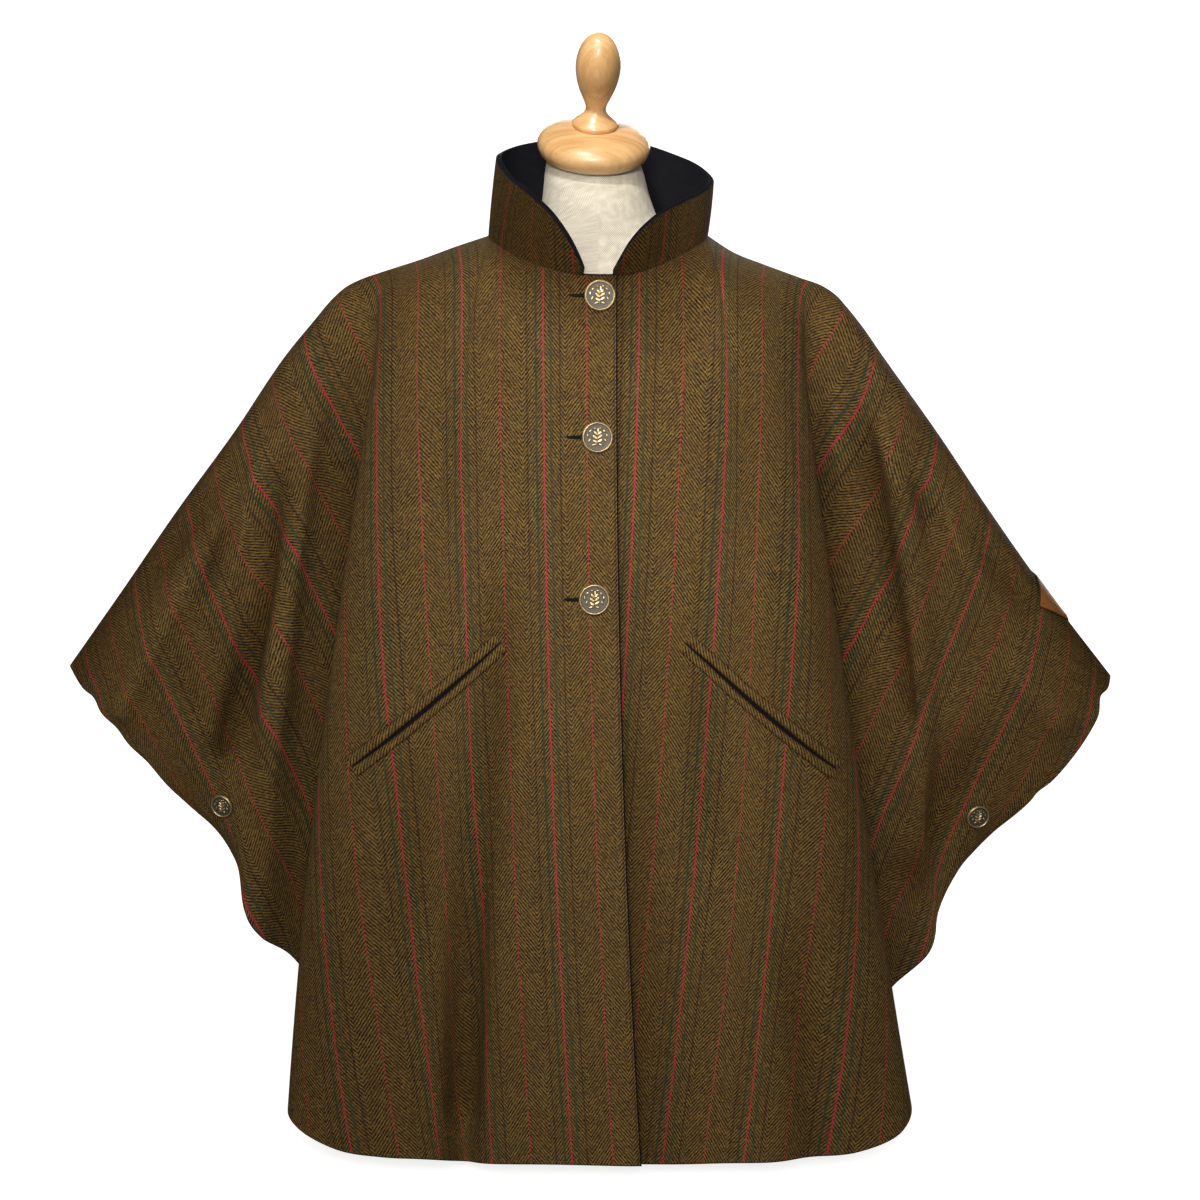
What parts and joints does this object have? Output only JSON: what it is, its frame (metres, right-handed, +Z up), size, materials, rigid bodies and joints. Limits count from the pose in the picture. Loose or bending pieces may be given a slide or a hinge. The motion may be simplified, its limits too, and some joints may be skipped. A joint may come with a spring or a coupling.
{
  "type": "reversible cape on a dress form",
  "caption": "Buttoned striped tweed cape with a stand collar, wide winged sides and slanted pockets, resting on a limbless countertop dress form with a wooden neck cap and finial.",
  "frame": {"origin": "centre of the underside of the form's foot, on the surface that it stands on", "axes": "+Z up; the wearer would face -Y; +X towards the wearer's left"},
  "size_m": [0.887, 0.3521, 0.9368],
  "materials": {
    "striped_tweed": "brushed wool tweed with fine red and dark stripes",
    "navy_reverse": "matt navy wool reverse",
    "antique_brass": "antiqued, satin",
    "brown_leather": "smooth, satin",
    "varnished_beech": "clear varnish",
    "ecru_cover": "plain linen cover over foam",
    "black_iron": "black, semi-matt"
  },
  "bodies": {
    "root": {"front_right": "striped_tweed", "front_left": "striped_tweed", "back": "striped_tweed", "collar": "striped_tweed", "collar_lining": "navy_reverse", "pocket_upper_right": "striped_tweed", "pocket_lower_right": "striped_tweed", "pocket_upper_left": "striped_tweed", "pocket_lower_left": "striped_tweed", "front_button_1": "antique_brass", "front_button_2": "antique_brass", "front_button_3": "antique_brass", "cuff_button_right": "antique_brass", "cuff_button_left": "antique_brass", "leather_patch": "brown_leather", "form_torso": "ecru_cover", "neck_cap": "varnished_beech", "finial": "varnished_beech", "form_post": "black_iron", "form_foot": "varnished_beech"}
  },
  "joints": []
}
